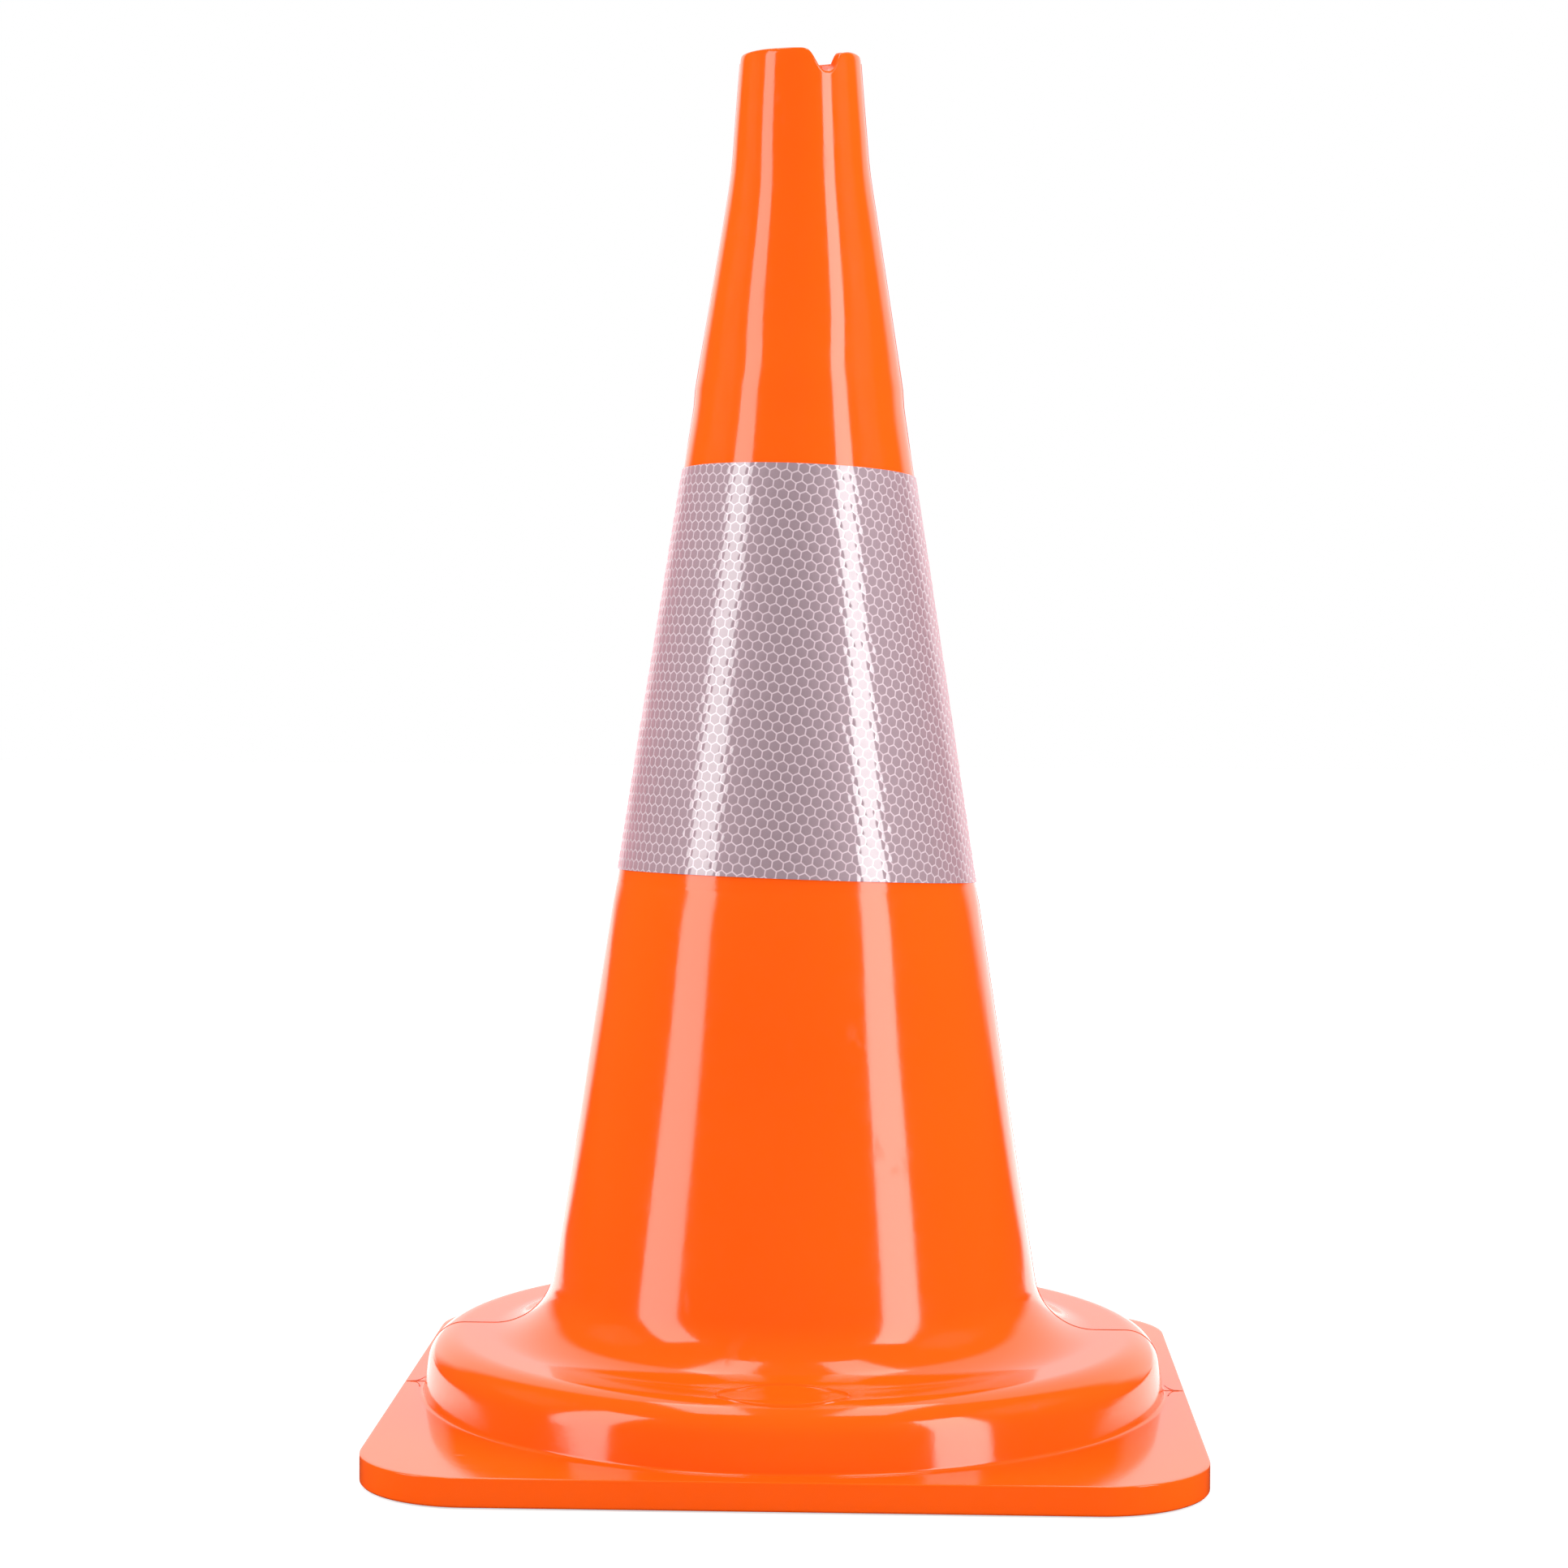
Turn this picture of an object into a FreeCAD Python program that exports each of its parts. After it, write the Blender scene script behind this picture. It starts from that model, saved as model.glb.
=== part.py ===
import FreeCAD, Part
import math
import os

# Traffic cone, 500 mm tall, in millimetres. The body is one hollow moulding
# of soft PVC: a tapered shell on a round plinth and a square base plate.
# A reflective collar of four bonded films is wrapped round the shell.
# Origin: middle of the underside. +Z up, the marked side of the plinth faces -Y.

HEIGHT = 500.0

# Base plate
PLATE_SIDE = 290.0
PLATE_THICK = 10.0
PLATE_CORNER = 40.0
PLATE_FOOT_CHAMFER = 1.1

# Round plinth on the plate
PLINTH_TOP = 32.5
PLINTH_FOOT_RADIUS = 136.6
PLINTH_DRAFT = 9.0
PLINTH_SHOULDER = 12.0
PLINTH_FOOT_FILLET = 1.3

# Tapered shell: outer radius at the levels where its slope changes
TAPER = 0.157
TAPER_LEVEL = 53.0
TAPER_RADIUS = 89.05
KNEE_LEVEL = 378.0
KNEE_RADIUS = 38.3
NECK_LEVEL = 458.0
NECK_RADIUS = 25.3
RIM_RADIUS = 21.9
RIM_ROUND = 1.0
SHELL_FILLET = 22.5

# Shallow seat that the collar lies in
SEAT_BOTTOM = 199.5
SEAT_TOP = 373.0
SEAT_DEPTH = 0.4
SEAT_STEP = 1.0

# Walls
SHELL_WALL = 3.0
PLINTH_WALL = 3.5

# Bore at the top, for a lamp or sign spigot
BORE_RADIUS = 18.5
BORE_BOTTOM = 476.0
BORE_LEAD_IN = 4.0

# Rope notch in the rim, placed by its angle from -Y towards +X
NOTCH_ANGLE = 27.3
NOTCH_WIDTH = 8.6
NOTCH_DEPTH = 8.0
NOTCH_LIP_ROUND = 2.6

# Blank oval panel raised on the plinth
OVAL_RADIUS = 116.3
OVAL_LENGTH = 46.0
OVAL_WIDTH = 24.5
OVAL_RISE = 0.3

# Stiffening ribs under the plinth
RIB_COUNT = 8
RIB_THICK = 3.0
RIB_DEPTH = 8.0

# Collar films, from the shell outwards, with their thicknesses
COLLAR_FILMS = (
    ("collar_adhesive", 0.10),
    ("collar_seal_film", 0.15),
    ("collar_prism_film", 0.20),
    ("collar_face_film", 0.15),
)
COLLAR_BOTTOM = 200.4
COLLAR_TOP = 348.0
COLLAR_TILT = 3.3
COLLAR_HIGH_SIDE = -32.0
SEAM_ANGLE = 100.0
SEAM_GAP = 0.6

FULL_TURN = 360.0
MARGIN = 5.0


def point(radius, level):
    """A point of a profile in the XZ plane."""
    return FreeCAD.Vector(radius, 0.0, level)


def line(start, end):
    """A straight edge."""
    return Part.LineSegment(start, end).toShape()


def arc(start, middle, end):
    """A round edge through three points."""
    return Part.Arc(start, middle, end).toShape()


def revolve(edges):
    """Turn a closed profile in the XZ plane into a solid of revolution."""
    face = Part.Face(Part.Wire(edges))
    return face.revolve(FreeCAD.Vector(0, 0, 0), FreeCAD.Vector(0, 0, 1), FULL_TURN)


def chain(points):
    """Straight edges through a list of points."""
    return [line(a, b) for a, b in zip(points, points[1:])]


def turned(shape, angle):
    """Turn a shape about the cone's axis; positive goes from -Y towards +X."""
    copy = shape.copy()
    copy.rotate(FreeCAD.Vector(0, 0, 0), FreeCAD.Vector(0, 0, 1), angle)
    return copy


def taper_radius(level):
    """Outer radius of the main taper, without the collar seat."""
    return TAPER_RADIUS - TAPER * (level - TAPER_LEVEL)


def shell_points():
    """Outer shell from the top of its foot fillet to the neck, bottom first."""
    levels = [
        (SEAT_BOTTOM - SEAT_STEP, 0.0),
        (SEAT_BOTTOM, -SEAT_DEPTH),
        (SEAT_TOP, -SEAT_DEPTH),
    ]
    seat = [point(taper_radius(z) + step, z) for z, step in levels]
    return seat + [point(KNEE_RADIUS, KNEE_LEVEL), point(NECK_RADIUS, NECK_LEVEL)]


def fillet_centre():
    """Centre of the arc that touches both the taper and the plinth's top."""
    slope_length = math.hypot(1.0, TAPER)
    level = PLINTH_TOP + SHELL_FILLET
    radius = taper_radius(level) + SHELL_FILLET * slope_length
    return point(radius, level)


def fillet_arc(size):
    """Start, middle and end of the foot fillet, drawn with another radius."""
    centre = fillet_centre()
    start = math.pi + math.atan(TAPER)
    end = 1.5 * math.pi
    points = []
    for angle in (start, 0.5 * (start + end), end):
        reach = point(size * math.cos(angle), size * math.sin(angle))
        points.append(centre + reach)
    return points


def shoulder_centre():
    """Centre of the arc that touches both the plinth's top and its drafted wall."""
    draft = math.radians(PLINTH_DRAFT)
    level = PLINTH_TOP - PLINTH_SHOULDER
    touch_level = level + PLINTH_SHOULDER * math.sin(draft)
    wall_height = touch_level - PLATE_THICK - PLINTH_FOOT_FILLET
    touch_radius = PLINTH_FOOT_RADIUS - wall_height * math.tan(draft)
    return point(touch_radius - PLINTH_SHOULDER * math.cos(draft), level)


def shoulder_arc(size, draft):
    """Plinth shoulder, from its flat top round to a wall with the draft in degrees."""
    centre = shoulder_centre()
    end = math.radians(draft)
    points = []
    for angle in (math.pi / 2, 0.5 * (math.pi / 2 + end), end):
        reach = point(size * math.cos(angle), size * math.sin(angle))
        points.append(centre + reach)
    return points


def outer_body():
    """Shell and plinth as one solid, down to the middle of the plate."""
    fillet = fillet_arc(SHELL_FILLET)
    shoulder = shoulder_arc(PLINTH_SHOULDER, PLINTH_DRAFT)
    inset = RIM_ROUND * (1.0 - math.cos(math.pi / 4))
    rim_side = point(RIM_RADIUS, HEIGHT - RIM_ROUND)
    rim_mid = point(RIM_RADIUS - inset, HEIGHT - inset)
    rim_top = point(RIM_RADIUS - RIM_ROUND, HEIGHT)
    foot_wall = point(PLINTH_FOOT_RADIUS, PLATE_THICK + PLINTH_FOOT_FILLET)
    foot_round = PLINTH_FOOT_FILLET * (1.0 - math.cos(math.pi / 4))
    foot_mid = point(PLINTH_FOOT_RADIUS + foot_round, PLATE_THICK + foot_round)
    foot_plate = point(PLINTH_FOOT_RADIUS + PLINTH_FOOT_FILLET, PLATE_THICK)
    below = PLATE_THICK / 2
    edges = [line(point(0, HEIGHT), rim_top), arc(rim_top, rim_mid, rim_side)]
    edges += chain([rim_side] + shell_points()[::-1] + [fillet[0]])
    edges += [arc(*fillet), line(fillet[2], shoulder[0]), arc(*shoulder)]
    edges += [line(shoulder[2], foot_wall), arc(foot_wall, foot_mid, foot_plate)]
    edges += chain([foot_plate, point(foot_plate.x, below), point(0, below), point(0, HEIGHT)])
    return revolve(edges)


def inner_hollow():
    """The space inside the body, from below the plate to above the rim."""
    fillet = fillet_arc(SHELL_FILLET + PLINTH_WALL)
    shoulder = shoulder_arc(PLINTH_SHOULDER - PLINTH_WALL, 0.0)
    bore_start = BORE_BOTTOM - BORE_LEAD_IN
    neck_slope = (NECK_RADIUS - RIM_RADIUS) / (HEIGHT - NECK_LEVEL)
    radius = NECK_RADIUS - neck_slope * (bore_start - NECK_LEVEL) - SHELL_WALL
    below = -MARGIN
    above = HEIGHT + MARGIN
    points = [point(0, below), point(shoulder[2].x, below), shoulder[2]]
    edges = chain(points)
    edges += [arc(*shoulder[::-1]), line(shoulder[0], fillet[2]), arc(*fillet[::-1])]
    inside = [
        point(KNEE_RADIUS - SHELL_WALL, KNEE_LEVEL),
        point(NECK_RADIUS - SHELL_WALL, NECK_LEVEL),
        point(radius, bore_start),
        point(BORE_RADIUS, BORE_BOTTOM),
        point(BORE_RADIUS, above),
        point(0, above),
        point(0, below),
    ]
    edges += chain([fillet[0]] + inside)
    return revolve(edges)


def base_plate():
    """Square plate with round corners, a sharp upper rim and a chamfered foot."""
    half = PLATE_SIDE / 2
    box = Part.makeBox(PLATE_SIDE, PLATE_SIDE, PLATE_THICK, FreeCAD.Vector(-half, -half, 0))
    upright = [edge for edge in box.Edges if abs(edge.tangentAt(0).z) > 0.5]
    plate = box.makeFillet(PLATE_CORNER, upright)
    foot = [edge for edge in plate.Edges if edge.BoundBox.ZMax < PLATE_THICK / 2]
    return plate.makeChamfer(PLATE_FOOT_CHAMFER, foot)


def notch_cutter():
    """A U-shaped slot through the rim on one side, with rounded lips."""
    low = HEIGHT - NOTCH_DEPTH
    half = NOTCH_WIDTH / 2
    lip = half + NOTCH_LIP_ROUND
    lip_level = HEIGHT - NOTCH_LIP_ROUND
    bend = NOTCH_LIP_ROUND * (1.0 - math.cos(math.pi / 4))
    above = HEIGHT + MARGIN

    def spot(x, z):
        return FreeCAD.Vector(x, 0.0, z)

    edges = [
        arc(spot(-half, low + half), spot(0, low), spot(half, low + half)),
        line(spot(half, low + half), spot(half, lip_level)),
        arc(spot(half, lip_level), spot(half + bend, HEIGHT - bend), spot(lip, HEIGHT)),
        line(spot(lip, HEIGHT), spot(lip, above)),
        line(spot(lip, above), spot(-lip, above)),
        line(spot(-lip, above), spot(-lip, HEIGHT)),
        arc(spot(-lip, HEIGHT), spot(-half - bend, HEIGHT - bend), spot(-half, lip_level)),
        line(spot(-half, lip_level), spot(-half, low + half)),
    ]
    slot = Part.Face(Part.Wire(edges)).extrude(FreeCAD.Vector(0, -2 * RIM_RADIUS, 0))
    return turned(slot, NOTCH_ANGLE)


def oval_panel():
    """A blank oval that stands a little proud of the plinth and follows its curves."""
    fillet = fillet_arc(SHELL_FILLET - OVAL_RISE)
    shoulder = shoulder_arc(PLINTH_SHOULDER + OVAL_RISE, PLINTH_DRAFT)
    edges = [arc(*fillet), line(fillet[2], shoulder[0]), arc(*shoulder)]
    edges += chain([shoulder[2], point(fillet[0].x, shoulder[2].z), fillet[0]])
    skin = revolve(edges)
    centre = FreeCAD.Vector(0, -OVAL_RADIUS, PLINTH_TOP - PLINTH_WALL / 2)
    ellipse = Part.Ellipse(centre, OVAL_LENGTH / 2, OVAL_WIDTH / 2)
    column = Part.Face(Part.Wire([ellipse.toShape()])).extrude(FreeCAD.Vector(0, 0, PLINTH_TOP))
    return column.common(skin)


def plinth_ribs(filled):
    """Low ribs across the hollow of the plinth, trimmed by the filled outside."""
    outer = shoulder_centre().x + PLINTH_SHOULDER - PLINTH_WALL / 2
    inner = fillet_centre().x - SHELL_FILLET / 2
    low = PLINTH_TOP - PLINTH_WALL - RIB_DEPTH
    corner = FreeCAD.Vector(inner, -RIB_THICK / 2, low)
    bar = Part.makeBox(outer - inner, RIB_THICK, 2 * RIB_DEPTH, corner)
    rib = bar.common(filled)
    step = FULL_TURN / RIB_COUNT
    return [turned(rib, step * (index + 0.5)) for index in range(RIB_COUNT)]


def cone_body():
    """The whole moulding."""
    filled = outer_body()
    body = filled.fuse(base_plate())
    body = body.cut(inner_hollow()).cut(notch_cutter())
    body = body.fuse(oval_panel()).fuse(plinth_ribs(filled))
    return body.removeSplitter()


def film_ring(inside, outside):
    """A ring that follows the shell between two distances from its surface."""
    slope_length = math.hypot(1.0, TAPER)
    low = COLLAR_BOTTOM - 4 * MARGIN
    high = COLLAR_TOP + 2 * MARGIN
    seat = shell_points()
    track = [point(taper_radius(low), low), seat[0], seat[1]]
    track.append(point(taper_radius(high) - SEAT_DEPTH, high))
    near = [spot + point(inside * slope_length, 0) for spot in track]
    far = [spot + point(outside * slope_length, 0) for spot in track]
    return revolve(chain(near + far[::-1] + [near[0]]))


def tilted_slab(bottom, top):
    """The space between two parallel tilted planes that trim the collar."""
    size = 3 * TAPER_RADIUS
    corner = FreeCAD.Vector(-size / 2, -size / 2, 0)
    slab = Part.makeBox(size, size, top - bottom, corner)
    slab.rotate(FreeCAD.Vector(0, 0, 0), FreeCAD.Vector(1, 0, 0), -COLLAR_TILT)
    slab.translate(FreeCAD.Vector(0, 0, bottom))
    return turned(slab, COLLAR_HIGH_SIDE)


def seam_slit():
    """The narrow gap where the wrapped strip's two ends meet."""
    corner = FreeCAD.Vector(-SEAM_GAP / 2, -TAPER_RADIUS, 0)
    return turned(Part.makeBox(SEAM_GAP, TAPER_RADIUS, HEIGHT, corner), SEAM_ANGLE)


def collar_film(inside, outside):
    """One film of the collar, trimmed at both edges and open at its seam."""
    trimmed = film_ring(inside, outside).common(tilted_slab(COLLAR_BOTTOM, COLLAR_TOP))
    return trimmed.cut(seam_slit())


def export(name, shape):
    """Write one sub-part, which has to be a single valid solid."""
    assert len(shape.Solids) == 1 and shape.isValid(), name
    solid = shape.Solids[0]
    solid.exportStep(os.path.join("parts", name + ".step"))
    print(name, "volume", round(solid.Volume), "mm3")


def main():
    os.makedirs("parts", exist_ok=True)
    export("cone_body", cone_body())
    inside = 0.0
    for name, thickness in COLLAR_FILMS:
        outside = inside + thickness
        export(name, collar_film(inside, outside))
        inside = outside


main()
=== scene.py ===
import math

import bmesh
import bpy
import numpy as np
from mathutils import Matrix, Vector


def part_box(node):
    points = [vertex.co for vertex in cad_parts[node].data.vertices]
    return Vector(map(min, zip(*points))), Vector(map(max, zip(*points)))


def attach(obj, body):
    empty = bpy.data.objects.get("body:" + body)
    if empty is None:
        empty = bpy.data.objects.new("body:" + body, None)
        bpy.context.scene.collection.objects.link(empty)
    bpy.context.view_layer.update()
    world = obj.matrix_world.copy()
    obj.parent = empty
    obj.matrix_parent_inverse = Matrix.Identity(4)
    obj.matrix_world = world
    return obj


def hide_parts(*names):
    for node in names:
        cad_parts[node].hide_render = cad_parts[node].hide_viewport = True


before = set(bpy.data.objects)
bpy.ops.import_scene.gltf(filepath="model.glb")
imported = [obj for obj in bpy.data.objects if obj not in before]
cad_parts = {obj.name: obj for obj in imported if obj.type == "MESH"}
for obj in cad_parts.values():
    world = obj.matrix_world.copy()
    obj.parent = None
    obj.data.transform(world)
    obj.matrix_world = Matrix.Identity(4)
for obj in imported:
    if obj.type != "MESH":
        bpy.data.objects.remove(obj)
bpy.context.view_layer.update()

# A 500 mm traffic cone of glossy orange PVC with a honeycomb reflective collar.
# The cone's lengths are in millimetres until a mesh is made, and the studio's are
# in metres. Angles round the axis are in degrees from the cone's front, -Y, and
# grow towards +X.

MM = 0.001
BODY = "root"

# The moulding
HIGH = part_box("cone_body")[1]
HEIGHT = HIGH[2] / MM
PLATE_HALF = HIGH[0] / MM
PLATE_THICK = 10.0
PLATE_CORNER = 40.0
PLATE_RIM_ROUND = 0.4
PLATE_FOOT_CHAMFER = 0.6
PLINTH_TOP = 32.5
PLINTH_FOOT_RADIUS = 136.6
PLINTH_DRAFT = 9.0
PLINTH_SHOULDER = 12.0
PLINTH_FOOT_FILLET = 1.3
PLINTH_WALL = 3.5
TAPER = 0.157
TAPER_LEVEL = 53.0
TAPER_RADIUS = 89.05
SHELL_FILLET = 22.5
SHELL_WALL = 3.0
KNEE_LEVEL = 378.0
KNEE_RADIUS = 38.3
NECK_LEVEL = 458.0
NECK_RADIUS = 25.3
RIM_RADIUS = 21.9
RIM_ROUND = 1.0
BORE_RADIUS = 18.5
BORE_BOTTOM = 476.0
BORE_LEAD_IN = 4.0
SEAT_BOTTOM = 199.5
SEAT_TOP = 373.0
SEAT_DEPTH = 0.4
SEAT_RAMP = 7.0
SEAT_LINE_RISE = 0.03
SEAT_LINE_WIDTH = 0.3
KNEE_SOFTNESS = 5.0
HOLLOW_FOOT_ROUND = 1.0

# How the shell strays from round, from where up and how near the rim. The waves:
# size, waves round the cone, shift, then length and shift along it. The flats:
# level, reach, size, lobes round the cone, shift.
STRAY_FROM = 60.0
STRAY_RAMP = 50.0
STRAY_RIM_RAMP = 60.0
SHELL_WAVES = (
    (0.13, 2.0, 0.9, 58.0, 0.4),
    (0.06, 3.0, -0.7, 27.0, 0.0),
    (0.03, 5.0, 2.1, 17.0, 1.3),
)
SHELL_FLATS = (
    (440.0, 60.0, 0.35, 1.0, -1.57),
    (383.0, 12.0, 0.5, 3.0, 0.0),
    (366.0, 34.0, 0.35, 3.0, 0.0),
    (322.0, 17.0, 0.16, 5.0, -0.4),
    (262.0, 20.0, 0.10, 5.0, 0.5),
    (150.0, 22.0, 0.12, 4.0, 0.3),
)

# The notch in the rim
NOTCH_ANGLE = 27.3
NOTCH_DEPTH = 8.0
NOTCH_HALF_WIDTH = 5.0
NOTCH_SQUARENESS = 2.8
NOTCH_REACH = 22.0
RIM_ZONE = 20.0
WORN_LIP_DEPTH = 0.9
WORN_LIP_PLACE = 6.5
WORN_LIP_REACH = 3.5

# The flash along the mould's parting line, left and right
FLASH_ANGLES = (90.0, 270.0)
FLASH_WIDTH = 0.42
FLASH_RISE_SHELL = 0.14
FLASH_RISE_PLINTH = 0.17
FLASH_RISE_FORK = 0.25
FLASH_FORK_FROM = 143.0
FLASH_FORK_TO = 138.2
FLASH_FORK_REACH = 9.0
PLINTH_FLASH_LEVEL = 80.0
PLINTH_FLASH_BLEND = 30.0
COVERED_FLASH_MARGIN = 8.0

# The blank oval on the plinth
OVAL_RADIUS = 116.3
OVAL_LENGTH = 46.0
OVAL_WIDTH = 24.5
OVAL_RISE = 0.6
OVAL_BORDER = 1.6
OVAL_BEAD_PLACE = 0.7
OVAL_BEAD_REACH = 0.32
OVAL_FIELD_LIFT = 0.12
OVAL_SUNK = 0.8

# The ribs under the plinth
RIB_COUNT = 8
RIB_THICK = 3.0
RIB_DEPTH = 8.0
RIB_DRAFT = 0.3

# The collar: a strip wrapped on the taper a little askew, ends overlapping. Each
# film's inner and outer face, as depths out from the shell.
FILMS = {
    "collar_adhesive": (0.0, 0.10),
    "collar_seal_film": (0.10, 0.25),
    "collar_prism_film": (0.25, 0.45),
    "collar_face_film": (0.45, 0.60),
}
COLLAR_BOTTOM = 200.4
COLLAR_TOP = 348.0
COLLAR_TILT = 3.3
COLLAR_HIGH_SIDE = -32.0
SEAM_START = 100.0
SEAM_OVERLAP = 9.0
SEAM_END = SEAM_START + 360.0 + SEAM_OVERLAP
SEAM_RAMP = 5.0
CELL_PITCH = 3.97
CELL_LINE = 0.46
CELL_PILLOW = 0.08
CELL_CREASE = 0.25
CELL_SEED = 7
ROWS_LEVEL_AT = 303.0
SHEET_MARGIN = 12.0
SHEET_MARGIN_TURN = 6.0
PRISM_PITCH = 0.5

# The camera
CAMERA_DISTANCE = 1.2639
CAMERA_HEIGHT = 0.2912
CAMERA_AZIMUTH = 1.73
CAMERA_PAN = 0.21
CAMERA_TILT = 2.59
CAMERA_ROLL = 0.31
CAMERA_LENS = 78.74

# The studio. A softbox stands at an angle round the axis and a distance from it,
# with a lowest and a highest edge.
SOFTBOXES = (
    {"name": "left_softbox", "azimuth": -60.0, "distance": 1.5, "low": 0.02, "high": 1.3,
     "width": 0.54, "energy": 9.7, "roll": -8.0},
    {"name": "right_softbox", "azimuth": 51.5, "distance": 1.5, "low": 0.02, "high": 1.3,
     "width": 0.48, "energy": 12.5},
    {"name": "right_fill", "azimuth": 85.0, "distance": 1.2, "low": 0.6, "high": 1.2,
     "width": 0.6, "energy": 8.5, "mirrored": False},
    {"name": "left_fill", "azimuth": -95.0, "distance": 1.2, "low": 0.5, "high": 1.1,
     "width": 0.6, "energy": 9.2, "mirrored": False},
    {"name": "back_fill", "azimuth": 200.0, "distance": 1.4, "low": 0.6, "high": 1.2,
     "width": 0.9, "energy": 9.0, "mirrored": False},
)
OVERHEAD_ACROSS = 0.37
OVERHEAD_BACK = 0.05
OVERHEAD_HEIGHT = 1.5
OVERHEAD_WIDTH = 0.32
OVERHEAD_DEPTH = 0.95
OVERHEAD_ENERGY = 3.8
AMBIENT = 0.55
ROOM_GLOW = 0.04
BACKDROP_AZIMUTH = 176.0
BACKDROP_GLOW = 1.1
UNDER_CONE = 0.14
PAPER_HALF_WIDTH = 0.42
PAPER_WIDENING = 0.75
FLOOR_HALF = 6.0
FLOOR_DROP = 0.0005

SLOPE = math.hypot(1.0, TAPER)
SLANT_SINE = TAPER / SLOPE
SLANT_COSINE = 1.0 / SLOPE
APEX = TAPER_LEVEL + TAPER_RADIUS / TAPER
RIGHT_ANGLE = math.pi / 2
TAPER_NORMAL = math.pi + math.atan(TAPER)
NECK_FALL = (NECK_RADIUS - RIM_RADIUS) / (HEIGHT - NECK_LEVEL)
DRAFT = math.radians(PLINTH_DRAFT)


# Curves of the moulding

def taper_radius(level):
    """Radius of the straight taper: it falls by TAPER for each unit of height."""
    return TAPER_RADIUS - TAPER * (level - TAPER_LEVEL)


def ease(value):
    """The smooth step 3t^2 - 2t^3 of t, with t held between 0 and 1."""
    t = np.clip(value, 0.0, 1.0)
    return t * t * (3.0 - 2.0 * t)


def shell_radius(level):
    """Outside of the shell at a height: straight lines from knee to knee, averaged
    over a short reach so that the knees are soft, less the seat that the collar
    lies in, which eases in at both ends, plus a hair line at its foot."""
    level = np.asarray(level, dtype=float)
    beyond = 20.0
    heights = [0.0, SEAT_TOP, KNEE_LEVEL, NECK_LEVEL, HEIGHT + beyond]
    tip = RIM_RADIUS - beyond * NECK_FALL
    radii = [taper_radius(0.0), taper_radius(SEAT_TOP), KNEE_RADIUS, NECK_RADIUS, tip]
    reach = np.linspace(-KNEE_SOFTNESS, KNEE_SOFTNESS, 9)
    soft = np.mean([np.interp(level + step, heights, radii) for step in reach], axis=0)
    step_up = ease((level - SEAT_BOTTOM + SEAT_RAMP) / SEAT_RAMP)
    step_down = ease((KNEE_LEVEL - level) / (KNEE_LEVEL - SEAT_TOP))
    line = SEAT_LINE_RISE * np.exp(-(((level - SEAT_BOTTOM) / SEAT_LINE_WIDTH) ** 2))
    return soft - SEAT_DEPTH * step_up * step_down + line


def shell_wave(turn, level):
    """How far the soft shell strays from round: a sum of slow sines round it times
    sines along it, and of flatter faces, each a cosine round the cone under a bell
    along it, all fading out at both ends."""
    angle = np.radians(turn)
    stray = 0.0
    for size, count, shift, length, start in SHELL_WAVES:
        stray = stray + size * np.sin(count * angle + shift) * np.sin(level / length + start)
    for middle, reach, size, lobes, shift in SHELL_FLATS:
        bell = np.exp(-(((level - middle) / reach) ** 2))
        stray = stray + size * bell * np.cos(lobes * angle + shift)
    fade = ease((level - STRAY_FROM) / STRAY_RAMP) * ease((HEIGHT - level) / STRAY_RIM_RAMP)
    return stray * fade


def rim_height(turn):
    """Height of the rim round the bore: level, less the larger of two dips. One is
    the notch, the exponential of a power of the distance from it, which gives it
    steep sides. The other is a shallow plain bell beside it where the lip is worn."""
    away = np.radians((turn - NOTCH_ANGLE + 180.0) % 360.0 - 180.0) * RIM_RADIUS
    dip = NOTCH_DEPTH * np.exp(-np.abs(away / NOTCH_HALF_WIDTH) ** NOTCH_SQUARENESS)
    worn = WORN_LIP_DEPTH * np.exp(-(((away - WORN_LIP_PLACE) / WORN_LIP_REACH) ** 2))
    return HEIGHT - np.maximum(dip, worn)


def plate_outline(turn):
    """Distance from the axis to the plate's outline: to a straight side, or to the
    arc of a corner, whichever the ray from the axis meets."""
    across = np.abs(np.sin(np.radians(turn)))
    ahead = np.abs(np.cos(np.radians(turn)))
    side = PLATE_HALF / np.maximum(across, ahead)
    centre = PLATE_HALF - PLATE_CORNER
    reach = (across + ahead) * centre
    corner = reach + np.sqrt(np.maximum(reach**2 - 2.0 * centre**2 + PLATE_CORNER**2, 0.0))
    straight = np.minimum(across, ahead) * side <= centre
    return np.where(straight, side, corner)


def bend(centre, size, start, end, count):
    """Points along an arc of a profile: the centre plus the size times the cosine
    and the sine of evenly spaced angles."""
    angle = np.linspace(start, end, count)
    return np.column_stack([centre[0] + size * np.cos(angle), centre[1] + size * np.sin(angle)])


def run(start, end, count):
    """Points along a straight stretch of a profile, both ends included."""
    return np.linspace(start, end, count)


def fillet_centre():
    """Centre of the arc that touches both the taper and the plinth's top."""
    level = PLINTH_TOP + SHELL_FILLET
    return (taper_radius(level) + SHELL_FILLET * SLOPE, level)


def shoulder_centre():
    """Centre of the arc that touches both the plinth's top and its drafted wall."""
    level = PLINTH_TOP - PLINTH_SHOULDER
    wall_height = level + PLINTH_SHOULDER * math.sin(DRAFT) - PLATE_THICK - PLINTH_FOOT_FILLET
    touch_radius = PLINTH_FOOT_RADIUS - wall_height * math.tan(DRAFT)
    return (touch_radius - PLINTH_SHOULDER * math.cos(DRAFT), level)


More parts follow.
